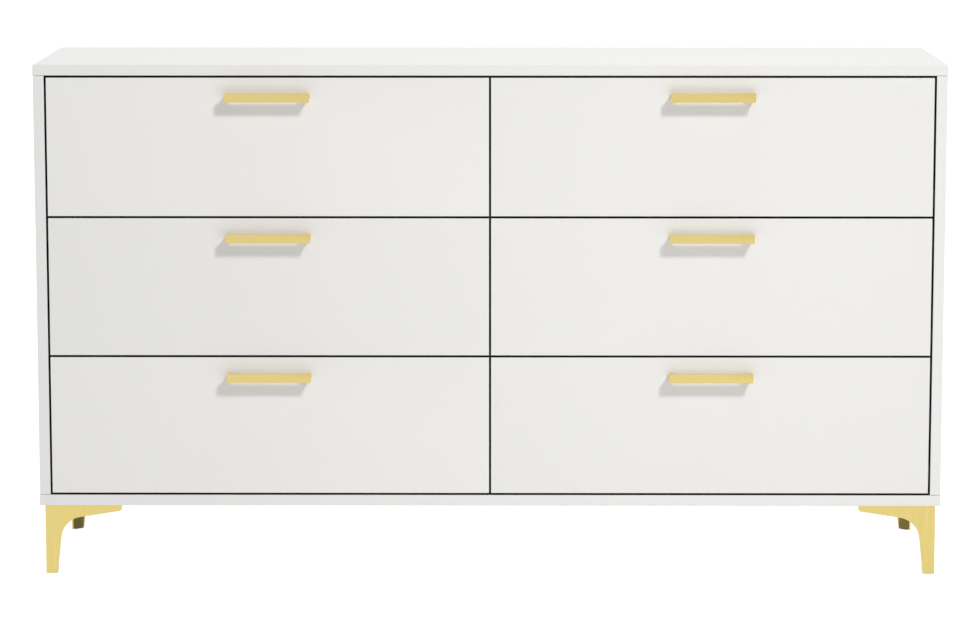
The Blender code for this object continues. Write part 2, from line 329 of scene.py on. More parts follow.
def make_lacquer():
    material, tree, shader = new_finish("white_satin_lacquer", Coat_Roughness=0.30, Specular_IOR_Level=0.45)
    tone = place_group(tree, TONE_DRIFT, Color=(0.798, 0.796, 0.788, 1), Patch_Size=0.35,
                       Color_Drift=0.025, Roughness=0.42, Roughness_Drift=0.10)
    # Edges a little lighter: partly wear, partly a painted highlight.
    edge = place_group(tree, RUBBED_EDGE_AND_HIGHLIGHT, Edge_Color=(0.86, 0.855, 0.84, 1), Amount=0.5)
    # Painted shade: the base colour goes nearly black inside the closed gaps round the drawers.
    painted_gaps = place_group(tree, GAP_PAINTED_SHADE, Gap_Color=(0.008, 0.008, 0.008, 1), Reach=0.020)
    ripple = place_group(tree, SPRAY_RIPPLE, Cell_Size=0.0022, Fine_Share=0.30)
    coat = add_node(tree, "ShaderNodeMath", {"operation": "MULTIPLY"})
    coat.inputs[1].default_value = COAT_MOST
    link = tree.links.new
    link(tone.outputs["Color"], edge.inputs["Color"])
    link(edge.outputs["Color"], painted_gaps.inputs["Color"])
    link(painted_gaps.outputs["Color"], shader.inputs["Base Color"])
    link(tone.outputs["Roughness"], shader.inputs["Roughness"])
    link(tone.outputs["Patches"], coat.inputs[0])
    link(coat.outputs[0], shader.inputs["Coat Weight"])
    bump_from(tree, ripple.outputs["Height"], shader, COAT_RIPPLE)
    return material


LACQUER = make_lacquer()
print("finish", LACQUER.name)

# %% [markdown]
# ### Satin gold
#
# The pulls and legs are plated metal with a fine brushed face. Gold is a metal, so its colour is the
# colour of its reflections: metallic is 1 and there is no diffuse part. The brushing changes the
# tone and the roughness line by line, and tilts the surface a hair with a bump. The pulls are brushed
# along X and the legs up and down, so one function makes both from the size of a mark.


# %% Gold
LINE_TONE = 0.84
LINE_DEPTH = 0.000012


def make_gold(name, color, mark_size):
    material, tree, shader = new_finish(name, Metallic=1.0)
    tone = place_group(tree, TONE_DRIFT, Color=(*color, 1), Patch_Size=0.06, Color_Drift=0.05, Roughness=0.0,
                       Roughness_Drift=0.06)
    # Edges paler and brighter: partly wear, partly a painted highlight.
    edge = place_group(tree, RUBBED_EDGE_AND_HIGHLIGHT, Edge_Color=(0.95, 0.80, 0.42, 1), Amount=0.45)
    lines = place_group(tree, DRAWN_LINES, Mark_Size=mark_size, Contrast=1.6)
    lined = add_node(tree, "ShaderNodeMix", {"data_type": "RGBA"})
    lined.inputs[7].default_value = (*[channel * LINE_TONE for channel in color], 1)
    rough = add_node(tree, "ShaderNodeMapRange", To_Min=0.30, To_Max=0.44)
    total = add_node(tree, "ShaderNodeMath", {"operation": "ADD", "use_clamp": True})
    link = tree.links.new
    link(lines.outputs["Lines"], lined.inputs["Factor"])
    link(tone.outputs["Color"], lined.inputs[6])
    link(lined.outputs[2], edge.inputs["Color"])
    link(edge.outputs["Color"], shader.inputs["Base Color"])
    link(lines.outputs["Lines"], rough.inputs["Value"])
    link(rough.outputs["Result"], total.inputs[0])
    link(tone.outputs["Roughness"], total.inputs[1])
    link(total.outputs[0], shader.inputs["Roughness"])
    bump_from(tree, lines.outputs["Lines"], shader, LINE_DEPTH)
    return material


PULL_GOLD = make_gold("gold_brushed_along", (0.91, 0.700, 0.190), (0.040, 0.0010, 0.0010))
LEG_GOLD = make_gold("gold_brushed_down", (0.975, 0.780, 0.262), (0.0011, 0.0011, 0.060))
print("finishes", PULL_GOLD.name, LEG_GOLD.name)

# %% [markdown]
# ### Foiled drawer board and hardboard
#
# The drawer boxes are thin board wrapped in an off-white foil with printed wood pores, and the drawer
# bottoms and the back are hardboard with one painted face. Both show drawn-out marks: long pores on
# the foil, short pressed fibres on the hardboard. The pores run along each board, along X or Y.


# %% Board finishes
def make_board(name, color, mark_size, mark_color, mark_share, roughness, depth):
    material, tree, shader = new_finish(name, Specular_IOR_Level=0.40)
    tone = place_group(tree, TONE_DRIFT, Color=(*color, 1), Patch_Size=0.12, Color_Drift=0.05,
                       Roughness=roughness, Roughness_Drift=0.08)
    lines = place_group(tree, DRAWN_LINES, Mark_Size=mark_size, Contrast=2.6)
    share = add_node(tree, "ShaderNodeMath", {"operation": "MULTIPLY"})
    share.inputs[1].default_value = mark_share
    marked = add_node(tree, "ShaderNodeMix", {"data_type": "RGBA"})
    marked.inputs[7].default_value = (*mark_color, 1)
    # Edges a little lighter: partly wear, partly a painted highlight.
    edge = place_group(tree, RUBBED_EDGE_AND_HIGHLIGHT, Edge_Color=(0.86, 0.85, 0.82, 1), Amount=0.3)
    link = tree.links.new
    link(lines.outputs["Lines"], share.inputs[0])
    link(share.outputs[0], marked.inputs["Factor"])
    link(tone.outputs["Color"], marked.inputs[6])
    link(marked.outputs[2], edge.inputs["Color"])
    link(edge.outputs["Color"], shader.inputs["Base Color"])
    link(tone.outputs["Roughness"], shader.inputs["Roughness"])
    bump_from(tree, lines.outputs["Lines"], shader, depth)
    return material


PORES = (0.60, 0.57, 0.52)
FIBRES = (0.55, 0.51, 0.44)
FOIL = (0.79, 0.775, 0.745)
FOIL_ALONG_Y = make_board("foil_grain_along_y", FOIL, (0.0012, 0.060, 0.0012), PORES, 0.35, 0.46, 0.00004)
FOIL_ALONG_X = make_board("foil_grain_along_x", FOIL, (0.060, 0.0012, 0.0012), PORES, 0.35, 0.46, 0.00004)
HARDBOARD = make_board("painted_hardboard", (0.72, 0.70, 0.66), (0.0030, 0.0030, 0.0016), FIBRES,
                       0.40, 0.58, 0.00006)
print("finishes", FOIL_ALONG_Y.name, FOIL_ALONG_X.name, HARDBOARD.name)

# %% [markdown]
# ### Coated steel, plastics and zinc
#
# The rails are steel under a white epoxy coat. The rollers, the back's joining strip and the foot inserts
# are plastic; the inserts' dark brown is painted shade for the inside of the legs' feet. The small bumpers
# are dark rubber, and the screws are zinc plated. A coat and a moulded plastic both ripple like a sprayed
# surface, only finer, so they share one function.


# %% Coats and plastics
def make_moulded(name, color, roughness, cell_size, depth, drift=0.04):
    material, tree, shader = new_finish(name)
    tone = place_group(tree, TONE_DRIFT, Color=(*color, 1), Patch_Size=0.03, Color_Drift=drift,
                       Roughness=roughness, Roughness_Drift=0.10)
    ripple = place_group(tree, SPRAY_RIPPLE, Cell_Size=cell_size, Fine_Share=0.5)
    tree.links.new(tone.outputs["Color"], shader.inputs["Base Color"])
    tree.links.new(tone.outputs["Roughness"], shader.inputs["Roughness"])
    bump_from(tree, ripple.outputs["Height"], shader, depth)
    return material


def make_zinc():
    material, tree, shader = new_finish("zinc_plate", Metallic=1.0)
    tone = place_group(tree, TONE_DRIFT, Color=(0.62, 0.61, 0.58, 1), Patch_Size=0.003,
                       Color_Drift=0.35, Roughness=0.34, Roughness_Drift=0.25)
    ripple = place_group(tree, SPRAY_RIPPLE, Cell_Size=0.0006, Fine_Share=0.5)
    tree.links.new(tone.outputs["Color"], shader.inputs["Base Color"])
    tree.links.new(tone.outputs["Roughness"], shader.inputs["Roughness"])
    bump_from(tree, ripple.outputs["Height"], shader, COAT_RIPPLE)
    return material


EPOXY_COAT = make_moulded("white_epoxy_coat", (0.78, 0.78, 0.765), 0.36, 0.0012, 0.00002)
STRIP_PLASTIC = make_moulded("white_strip_plastic", (0.79, 0.79, 0.77), 0.42, 0.0010, 0.00002)
NYLON = make_moulded("nylon", (0.70, 0.69, 0.66), 0.38, 0.0008, 0.00001)
# Painted shade: the foot inserts' dark brown stands for the shaded inside of each foot.
FOOT_SHADE_PLASTIC = make_moulded("brown_foot_plastic_painted_shade", (0.165, 0.122, 0.022), 0.55, 0.0012, 0.00005, 0.5)
DARK_RUBBER = make_moulded("dark_rubber", (0.045, 0.043, 0.040), 0.62, 0.0006, 0.00004, 0.25)
ZINC = make_zinc()
print("finishes", [m.name for m in (EPOXY_COAT, STRIP_PLASTIC, NYLON, FOOT_SHADE_PLASTIC, DARK_RUBBER, ZINC)])

# %% [markdown]
# ## Tools for making pieces
#
# A CAD board is a razor-edged box made of loose triangles. Nothing real has such edges, and light
# gives them away at once. So we take a copy of each board's mesh, merge its triangles, and round its
# outer edges with the bevel operator. The copy keeps the grooves and rebates that the CAD cut.

# %% Copy, merge and round
MERGE = 0.00002
TINY = 0.000001
FLAT = math.radians(1.0)
SHARP = math.radians(35.0)


def merged_copy(node):
    bm = bmesh.new()
    bm.from_mesh(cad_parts[node].data)
    bmesh.ops.remove_doubles(bm, verts=bm.verts, dist=MERGE)
    bmesh.ops.dissolve_limit(bm, angle_limit=FLAT, verts=bm.verts, edges=bm.edges)
    return bm


def outer_edges(bm, angle=SHARP):
    """Edges where the surface turns outwards by more than the angle."""
    return [e for e in bm.edges if e.is_manifold and e.calc_face_angle_signed() > angle]


def round_edges(bm, edges, radius, segments):
    bmesh.ops.bevel(bm, geom=edges, offset=radius, offset_type="OFFSET", segments=segments, profile=0.5,
                    affect="EDGES", clamp_overlap=True, material=-1)


def everything(bm):
    return bm.verts[:] + bm.edges[:] + bm.faces[:]


# %% [markdown]
# Every finished piece takes the same last steps: a mesh, a material, smooth shading that breaks only
# at sharp turns, and a body to ride on. Wide flat faces next to narrow bevels shade best with weighted
# normals, which let the large face decide.


# %% Finish a piece
def add_piece(name, bm, finish, body, stands_for=None):
    mesh = bpy.data.meshes.new(name)
    bm.to_mesh(mesh)
    bm.free()
    mesh.shade_smooth()
    mesh.set_sharp_from_angle(angle=SHARP)
    mesh.materials.append(finish)
    piece = bpy.data.objects.new(name, mesh)
    bpy.context.scene.collection.objects.link(piece)
    weighted = piece.modifiers.new("weighted_normals", "WEIGHTED_NORMAL")
    weighted.keep_sharp = True
    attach(piece, body)
    if stands_for:
        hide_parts(stands_for)
    return piece


def dress_board(node, finish, body, radius, segments=3, suffix="_board"):
    bm = merged_copy(node)
    round_edges(bm, outer_edges(bm), radius, segments)
    return add_piece(node + suffix, bm, finish, body, node)


# %% [markdown]
# ## The case
#
# Five boards: top, bottom, two sides and the divider. The lacquered edges get a radius a little under
# a millimetre. It is what catches the light as the thin pale line along each edge.

# %% Case boards
CASE_RADIUS = 0.0009
for board_name in ("top_panel", "bottom_panel", "left_side_panel", "right_side_panel", "center_divider"):
    dress_board(board_name, LACQUER, "case", CASE_RADIUS)
print("case boards rounded by", CASE_RADIUS * 1000, "mm")

# %% [markdown]
# ### Back sheets and joining strip
#
# The back is two thin sheets in a rebate, held by an extruded H strip over the divider. The sheets
# are cut, not moulded, so their edges are only just broken.

# %% Back
SHEET_RADIUS = 0.0003
STRIP_RADIUS = 0.0002
for side, _ in SIDES:
    dress_board("back_panel_" + side, HARDBOARD, "case", SHEET_RADIUS, 2, "_sheet")
dress_board("back_joint_strip", STRIP_PLASTIC, "case", STRIP_RADIUS, 2, "_h_section")
print("back sheets and strip done")

# %% [markdown]
# ## Turned hardware
#
# Screws, nails, rollers and cam locks are all turned shapes. The spin operator turns a short profile
# round Z. Its first and last points lie on the axis, and merging doubles closes the poles. A recess
# for a cross screwdriver is cut by bisecting the head along both arms and pushing the cross down. That
# works on a level top, as the cam locks and flush screws have. The domed pan heads slope too much to
# count as level, so they are bisected but keep a plain top: a real pan head has the recess too.


# %% Turning and cutting
def turned(profile, steps=24):
    """Spin (radius, height) points round Z; the profile runs from the top's middle to the base's."""
    bm = bmesh.new()
    verts = [bm.verts.new((radius, 0, height)) for radius, height in profile]
    edges = [bm.edges.new(pair) for pair in zip(verts, verts[1:])]
    bmesh.ops.spin(bm, geom=verts + edges, cent=(0, 0, 0), axis=(0, 0, 1), angle=math.tau, steps=steps,
                   use_merge=True)
    bmesh.ops.remove_doubles(bm, verts=bm.verts, dist=TINY)
    bmesh.ops.recalc_face_normals(bm, faces=bm.faces)
    return bm


LEVEL = 0.00001


def cut_cross(bm, top, arm, half_width, depth):
    for normal in (Vector((1, 0, 0)), Vector((0, 1, 0))):
        for offset in (-arm, -half_width, half_width, arm):
            bmesh.ops.bisect_plane(bm, geom=everything(bm), dist=TINY / 10, plane_co=normal * offset,
                                   plane_no=normal)
    cross = []
    for face in bm.faces:
        middle = face.calc_center_median()
        long, short = max(abs(middle.x), abs(middle.y)), min(abs(middle.x), abs(middle.y))
        if face.normal.z > 0.99 and abs(middle.z - top) < LEVEL and long < arm and short < half_width:
            cross.append(face)
    moved = bmesh.ops.extrude_face_region(bm, geom=cross)
    floor = [item for item in moved["geom"] if isinstance(item, bmesh.types.BMVert)]
    bmesh.ops.translate(bm, vec=(0, 0, -depth), verts=floor)
    bmesh.ops.delete(bm, geom=cross, context="FACES_ONLY")


# %% [markdown]
# A template is kept as a mesh, and each use is a copy of it, turned so that its +Z points along the
# given axis. All the screws of one rail, or the nails of one sheet, join into a single piece.


# %% Templates and copies
def keep_template(name, bm):
    mesh = bpy.data.meshes.new(name)
    bm.to_mesh(mesh)
    bm.free()
    return mesh


def add_copies(bm, template, places, axis):
    turn = Vector(axis).to_track_quat("Z", "Y").to_matrix().to_4x4()
    for place in places:
        before = set(bm.verts)
        bm.from_mesh(template)
        new = [v for v in bm.verts if v not in before]
        bmesh.ops.transform(bm, matrix=Matrix.Translation(place) @ turn, verts=new)


def hardware_piece(name, template, places, axis, finish, body):
    bm = bmesh.new()
    add_copies(bm, template, places, axis)
    return add_piece(name, bm, finish, body)


# %% [markdown]
# The templates: a pan head screw, a small nail head, a cam lock disc, a flush connecting screw and a
# domed rubber bumper.

# %% Hardware templates
BUMPER_HEIGHT = 0.0016
pan = turned([(0, 0.0022), (0.0024, 0.0021), (0.0034, 0.0016), (0.0039, 0.0008), (0.0040, 0), (0, 0)])
cut_cross(pan, top=0.0022, arm=0.0019, half_width=0.0004, depth=0.0009)
PAN_SCREW = keep_template("pan_screw", pan)
nail = turned([(0, 0.0005), (0.0016, 0.0004), (0.0019, 0.0002), (0.0019, 0), (0, 0)], steps=12)
NAIL = keep_template("nail", nail)
cam = turned([(0, 0.0004), (0.0068, 0.0004), (0.0074, 0.0002), (0.0074, -0.0020), (0, -0.0020)], steps=32)
cut_cross(cam, top=0.0004, arm=0.0040, half_width=0.0007, depth=0.0014)
CAM_LOCK = keep_template("cam_lock", cam)
flush = turned([(0, 0.0003), (0.0030, 0.0003), (0.0034, 0), (0.0034, -0.0010), (0, -0.0010)])
cut_cross(flush, top=0.0003, arm=0.0019, half_width=0.0005, depth=0.0010)
FLUSH_SCREW = keep_template("flush_screw", flush)
bumper = turned([(0, BUMPER_HEIGHT), (0.0020, 0.0014), (0.0032, 0.0008), (0.0036, 0), (0, 0)])
BUMPER = keep_template("bumper", bumper)
print("templates", [m.name for m in (PAN_SCREW, NAIL, CAM_LOCK, FLUSH_SCREW, BUMPER)])

# %% [markdown]
# ### Nails round the back sheets
#
# The sheets are nailed into the rear edges of the case about every 12 cm. The nails follow the
# sheet's outline, 4 mm in from its edge, except along the strip.


# %% Nail the back
def spread(low, high, spacing):
    """Evenly spaced values from low to high, no further apart than the spacing."""
    count = math.ceil((high - low) / spacing)
    return [low + (high - low) * i / count for i in range(count + 1)]


NAIL_MARGIN = 0.004
NAILS_FROM_STRIP = NAIL_MARGIN * 5
NAIL_SPACING = 0.12
for side, sign in SIDES:
    low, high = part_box("back_panel_" + side)
    near, far = (high.x, low.x) if sign < 0 else (low.x, high.x)
    outer_x = far - sign * NAIL_MARGIN
    inner_x = near + sign * NAILS_FROM_STRIP
    bottom_z, top_z = low.z + NAIL_MARGIN, high.z - NAIL_MARGIN
    row_x = spread(min(outer_x, inner_x), max(outer_x, inner_x), NAIL_SPACING)
    places = [Vector((x, high.y, z)) for x in row_x for z in (bottom_z, top_z)]
    places += [Vector((outer_x, high.y, z)) for z in spread(bottom_z, top_z, NAIL_SPACING)[1:-1]]
    hardware_piece("back_nails_" + side, NAIL, places, (0, 1, 0), ZINC, "case")
print("nails on each sheet:", len(places))

# %% [markdown]
# ### Cam locks of the case
#
# Flat-packed cases are drawn together by cam locks. They sit on the inner faces of the side panels and
# on one face of the divider, near the top and the bottom, where only an open drawer shows them.

# %% Case cam locks
CAM_IN = 0.034
CAM_FROM_EDGE = 0.05
low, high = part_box("center_divider")
cam_heights = (low.z + CAM_IN, high.z - CAM_IN)
cam_depths = (low.y + CAM_FROM_EDGE, high.y - CAM_FROM_EDGE)
for side, sign in SIDES:
    panel_low, panel_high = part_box(side + "_side_panel")
    inner_x = panel_high.x if sign < 0 else panel_low.x
    places = [Vector((inner_x, y, z)) for y in cam_depths for z in cam_heights]
    hardware_piece(side + "_panel_cam_locks", CAM_LOCK, places, (-sign, 0, 0), ZINC, "case")
places = [Vector((high.x, y, z)) for y in cam_depths for z in cam_heights]
hardware_piece("divider_cam_locks", CAM_LOCK, places, (1, 0, 0), ZINC, "case")
print("cam locks at heights", [round(z, 3) for z in cam_heights])

# %% [markdown]
# ## Legs
#
# Each leg is one sheet of 3 mm metal, cut to a curved bracket, bent round the corner of the case and
# folded in under it. The CAD has the cut shape with knife edges. A press leaves a soft bend, so the
# upright corner gets a wide bevel of its own first, and then all the cut edges get a fine one.

# %% Legs
BEND_RADIUS = 0.0028
SHEET_EDGE = 0.0005
LEG_SHARP = math.radians(50)


def is_bend(edge, corner):
    """True for the upright outer corner edge of a leg."""
    return all(abs(v.co.x - corner.x) < MERGE and abs(v.co.y - corner.y) < MERGE for v in edge.verts)


def dress_leg(node, x_sign, y_sign):
    low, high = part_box(node)
    corner = Vector((low.x if x_sign < 0 else high.x, low.y if y_sign < 0 else high.y, 0))
    bm = merged_copy(node)
    round_edges(bm, [e for e in bm.edges if is_bend(e, corner)], BEND_RADIUS, 6)
    round_edges(bm, outer_edges(bm, LEG_SHARP), SHEET_EDGE, 2)
    return add_piece(node + "_bracket", bm, LEG_GOLD, "case", node), corner


leg_corners = {}
for end, y_sign in (("front", -1), ("back", 1)):
    for side, x_sign in SIDES:
        leg, corner = dress_leg(f"{end}_{side}_leg", x_sign, y_sign)
        leg_corners[end, side] = (corner, x_sign, y_sign)
print("leg bracket has", len(leg.data.polygons), "faces")

# %% [markdown]
# ### Foot inserts and leg screws
#
# A dark brown moulded insert fills the inner corner of each foot. Its dark colour is painted shade: it
# stands where the inside of the bent leg is in shade. It is a cube cut by one slanted plane, which takes
# off the corner that a shoe or a broom would catch, then capped and rounded. Three pan head screws hold
# the folded plate to the bottom panel.

# %% Foot inserts and leg screws
SHEET = 0.003
FIT = 0.0003
INSERT_SIZE = Vector((0.0158, 0.0158, 0.022))
INSERT_CUT = Vector((0.010, 0.010, 0.0065))
INSERT_RADIUS = 0.0007
INSERT_SHARP = math.radians(20)
LEG_SCREWS = ((0.026, 0.026), (0.090, 0.014), (0.014, 0.090))


def add_insert(name, corner, x_sign, y_sign):
    bm = bmesh.new()
    bmesh.ops.create_cube(bm, size=1.0)
    bmesh.ops.scale(bm, vec=INSERT_SIZE, verts=bm.verts)
    offset = SHEET + FIT + INSERT_SIZE.x / 2
    middle = Vector((corner.x - x_sign * offset, corner.y - y_sign * offset, INSERT_SIZE.z / 2 + FIT))
    bmesh.ops.translate(bm, vec=middle, verts=bm.verts)
    inner = middle + Vector((-x_sign, -y_sign, -1)) * (INSERT_SIZE / 2)
    normal = Vector((-x_sign / INSERT_CUT.x, -y_sign / INSERT_CUT.y, -1 / INSERT_CUT.z)).normalized()
    cut = bmesh.ops.bisect_plane(bm, geom=everything(bm), dist=TINY, plane_no=normal, clear_outer=True,
                                 plane_co=inner + Vector((0, 0, INSERT_CUT.z)))
    rim = [item for item in cut["geom_cut"] if isinstance(item, bmesh.types.BMEdge)]
    bmesh.ops.contextual_create(bm, geom=rim)
    round_edges(bm, outer_edges(bm, INSERT_SHARP), INSERT_RADIUS, 3)
    # The insert's dark finish is painted shade for the inside of the foot.
    return add_piece(name, bm, FOOT_SHADE_PLASTIC, "case")


for (end, side), (corner, x_sign, y_sign) in leg_corners.items():
    add_insert(f"{end}_{side}_foot_shade_insert", corner, x_sign, y_sign)
    plate_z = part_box(f"{end}_{side}_leg")[1].z - SHEET
    places = [Vector((corner.x - x_sign * x, corner.y - y_sign * y, plate_z)) for x, y in LEG_SCREWS]
    hardware_piece(f"{end}_{side}_leg_screws", PAN_SCREW, places, (0, 0, -1), ZINC, "case")
print("four inserts, and three screws a leg")

# %% [markdown]
# ## Slide rails
#
# Each drawer runs on two roller slides. The case half is a C channel screwed to the wall, with a
# nylon roller at its front end. The drawer half is an angle under the drawer side, with a lip that
# runs on the front roller and a second roller at its rear end, inside the channel. The CAD has the
# channel; here it gets soft edges, screws and its roller, and the drawer half is modelled from scratch.

# %% Case rails and their rollers
ROLLER = keep_template("roller", turned([
    (0, 0.0062), (0.0022, 0.0062), (0.0026, 0.0056), (0.0034, 0.0052), (0.0085, 0.0050), (0.0091, 0.0044),
    (0.0091, 0.0008), (0.0087, 0.0002), (0.0034, 0), (0, 0)], steps=40))
RAIL_WALL = 0.0012
RAIL_RADIUS = 0.0003
RAIL_SCREWS = (0.16, 0.50, 0.90)
ROLLER_RADIUS = 0.0091
ROLLER_FROM_END = 0.003
LIP_HEIGHT = 0.0207


def dress_rail(name, mouth_sign):
    node = name + "_rail"
    low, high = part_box(node)
    wall_x = low.x if mouth_sign > 0 else high.x
    web_x = wall_x + mouth_sign * RAIL_WALL
    dress_board(node, EPOXY_COAT, "case", RAIL_RADIUS, 2, "_channel")
    screws = [Vector((web_x, low.y + (high.y - low.y) * share, (low.z + high.z) / 2))
              for share in RAIL_SCREWS]
    hardware_piece(node + "_screws", PAN_SCREW, screws, (mouth_sign, 0, 0), ZINC, "case")
    roller_z = low.z + LIP_HEIGHT - FIT - ROLLER_RADIUS
    roller = [Vector((web_x + mouth_sign * FIT, low.y + ROLLER_RADIUS + ROLLER_FROM_END, roller_z))]
    hardware_piece(name + "_front_roller", ROLLER, roller, (mouth_sign, 0, 0), NYLON, "case")


for drawer in DRAWERS:
    for side, sign in SIDES:
        dress_rail(f"{drawer}_bay_{side}", -sign)
print("twelve channels with screws and rollers")

# %% [markdown]
# The drawer half is an open strip of sheet: three flats and two folds, seen from its end. We lay down
# that line, extrude it along the slide, and let the solidify operator give the sheet its thickness.

# %% Drawer runners
RUNNER_SHEET = 0.0011
RUNNER_REACH = 0.0070
RUNNER_UNDER = 0.0100
RUNNER_FROM_END = 0.002


def add_runner(drawer, side, sign):
    board_low, board_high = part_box(f"{drawer}_drawer_{side}_side")
    rail_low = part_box(f"{drawer}_bay_{side}_rail")[0]
    face_x = board_low.x if sign < 0 else board_high.x
    outer_x = face_x + sign * (FIT + RUNNER_SHEET)
    under_z = board_low.z - FIT - RUNNER_SHEET
    lip_z = rail_low.z + LIP_HEIGHT
    folds = [(outer_x - sign * RUNNER_UNDER, under_z), (outer_x, under_z), (outer_x, lip_z),
             (outer_x + sign * RUNNER_REACH, lip_z)]
    bm = bmesh.new()
    verts = [bm.verts.new((x, board_low.y + RUNNER_FROM_END, z)) for x, z in folds]
    edges = [bm.edges.new(pair) for pair in zip(verts, verts[1:])]
    grown = bmesh.ops.extrude_edge_only(bm, edges=edges)["geom"]
    far = [item for item in grown if isinstance(item, bmesh.types.BMVert)]
    length = board_high.y - board_low.y - 2 * RUNNER_FROM_END
    bmesh.ops.translate(bm, vec=(0, length, 0), verts=far)
    bmesh.ops.recalc_face_normals(bm, faces=bm.faces)
    # The web has to face away from the drawer, so that the sheet grows towards the drawer.
    web = min(bm.faces, key=lambda f: abs(f.calc_center_median().x - outer_x))
    if web.normal.x * sign < 0:
        bmesh.ops.reverse_faces(bm, faces=bm.faces)
    bmesh.ops.solidify(bm, geom=bm.faces[:], thickness=RUNNER_SHEET)
    round_edges(bm, outer_edges(bm), RAIL_RADIUS, 2)
    body = drawer + "_drawer"
    add_piece(f"{body}_{side}_runner", bm, EPOXY_COAT, body)
    roller_y = board_high.y - ROLLER_RADIUS - 2 * RUNNER_FROM_END
    roller_z = rail_low.z + RAIL_WALL + FIT + ROLLER_RADIUS
    roller = [Vector((outer_x + sign * FIT, roller_y, roller_z))]
    hardware_piece(f"{body}_{side}_rear_roller", ROLLER, roller, (sign, 0, 0), NYLON, body)


for drawer in DRAWERS:
    for side, sign in SIDES:
        add_runner(drawer, side, sign)
print("twelve runners with rollers")

# %% [markdown]
# ## Drawers
#
# A drawer is a lacquered front on a foiled box with a hardboard bottom. The front gets the same
# rounded edges as the case. Cam locks inside the box pull it onto the front, flush screws through the
# sides hold the back, and two screws from inside hold the pull.

# %% Drawer fronts and boxes
FRONT_RADIUS = 0.0007
BOX_RADIUS = 0.0006


def dress_drawer(drawer):
    body = drawer + "_drawer"
    dress_board(body + "_front", LACQUER, body, FRONT_RADIUS, 3, "_slab")
    for side, _ in SIDES:
        dress_board(f"{body}_{side}_side", FOIL_ALONG_Y, body, BOX_RADIUS, 2)
    dress_board(body + "_back", FOIL_ALONG_X, body, BOX_RADIUS, 2)
    dress_board(body + "_bottom", HARDBOARD, body, SHEET_RADIUS, 2, "_sheet")


for drawer in DRAWERS:
    dress_drawer(drawer)
print("six drawers rounded")

# %% Drawer fittings
PULL_SCREWS = 0.128
CAM_FROM_FRONT = 0.034
SCREW_FROM_BACK = 0.006
LOW_FITTING = 0.035
HIGH_FITTING = 0.030


def fit_drawer(drawer):
    body = drawer + "_drawer"
    front_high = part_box(body + "_front")[1]
    pull_low, pull_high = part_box(drawer + "_handle")
    pull_x, pull_z = (pull_low.x + pull_high.x) / 2, (pull_low.z + pull_high.z) / 2
    places = [Vector((pull_x + share * PULL_SCREWS, front_high.y, pull_z)) for share in (-0.5, 0.5)]
    hardware_piece(body + "_pull_screws", PAN_SCREW, places, (0, 1, 0), ZINC, body)
    for side, sign in SIDES:
        low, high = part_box(f"{body}_{side}_side")
        inner_x, outer_x = (high.x, low.x) if sign < 0 else (low.x, high.x)
        heights = (low.z + LOW_FITTING, high.z - HIGH_FITTING)
        places = [Vector((inner_x, low.y + CAM_FROM_FRONT, z)) for z in heights]
        hardware_piece(f"{body}_{side}_cam_locks", CAM_LOCK, places, (-sign, 0, 0), ZINC, body)
        places = [Vector((outer_x, high.y - SCREW_FROM_BACK, z)) for z in heights]
        hardware_piece(f"{body}_{side}_back_screws", FLUSH_SCREW, places, (sign, 0, 0), ZINC, body)


for drawer in DRAWERS:
    fit_drawer(drawer)
print("six drawers fitted out")

# %% [markdown]
# ### Bumpers
#
# Closed fronts stop 2 mm short of the divider. Small domed bumpers on the divider's front edge, two
# for each drawer, keep them from knocking.

# %% Bumpers
BUMPER_IN = 0.004
BUMPER_FROM_EDGE = 0.030
low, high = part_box("center_divider")
for row in ROWS:
    front_low, front_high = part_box(f"{row}_left_drawer_front")
    places = [Vector((x, low.y, z)) for x in (low.x + BUMPER_IN, high.x - BUMPER_IN)
              for z in (front_low.z + BUMPER_FROM_EDGE, front_high.z - BUMPER_FROM_EDGE)]
    hardware_piece(row + "_row_bumpers", BUMPER, places, (0, -1, 0), DARK_RUBBER, "case")
print("bumpers stand", BUMPER_HEIGHT * 1000, "mm proud of the divider")

# %% [markdown]
# ## Bar pulls
#
# A pull is a flat bar on two posts, lower than the bar so that they hide behind it. It could be a copy
# of the CAD, but it is the piece the eye lands on, so it is worth its own modelling: a cube stretched
# to the bar, cut at the posts' sides with four bisects, the two pads of its rear face extruded back
# into posts, and every outer edge rounded to a crisp 0.6 mm. The inner corners get a small fillet from
# the same operator.

# %% Pulls
POST_WIDTH = 0.011
POST_HEIGHT = 0.008
BAR_THICKNESS = 0.006
PULL_FILLET = 0.0012
PULL_RADIUS = 0.0006


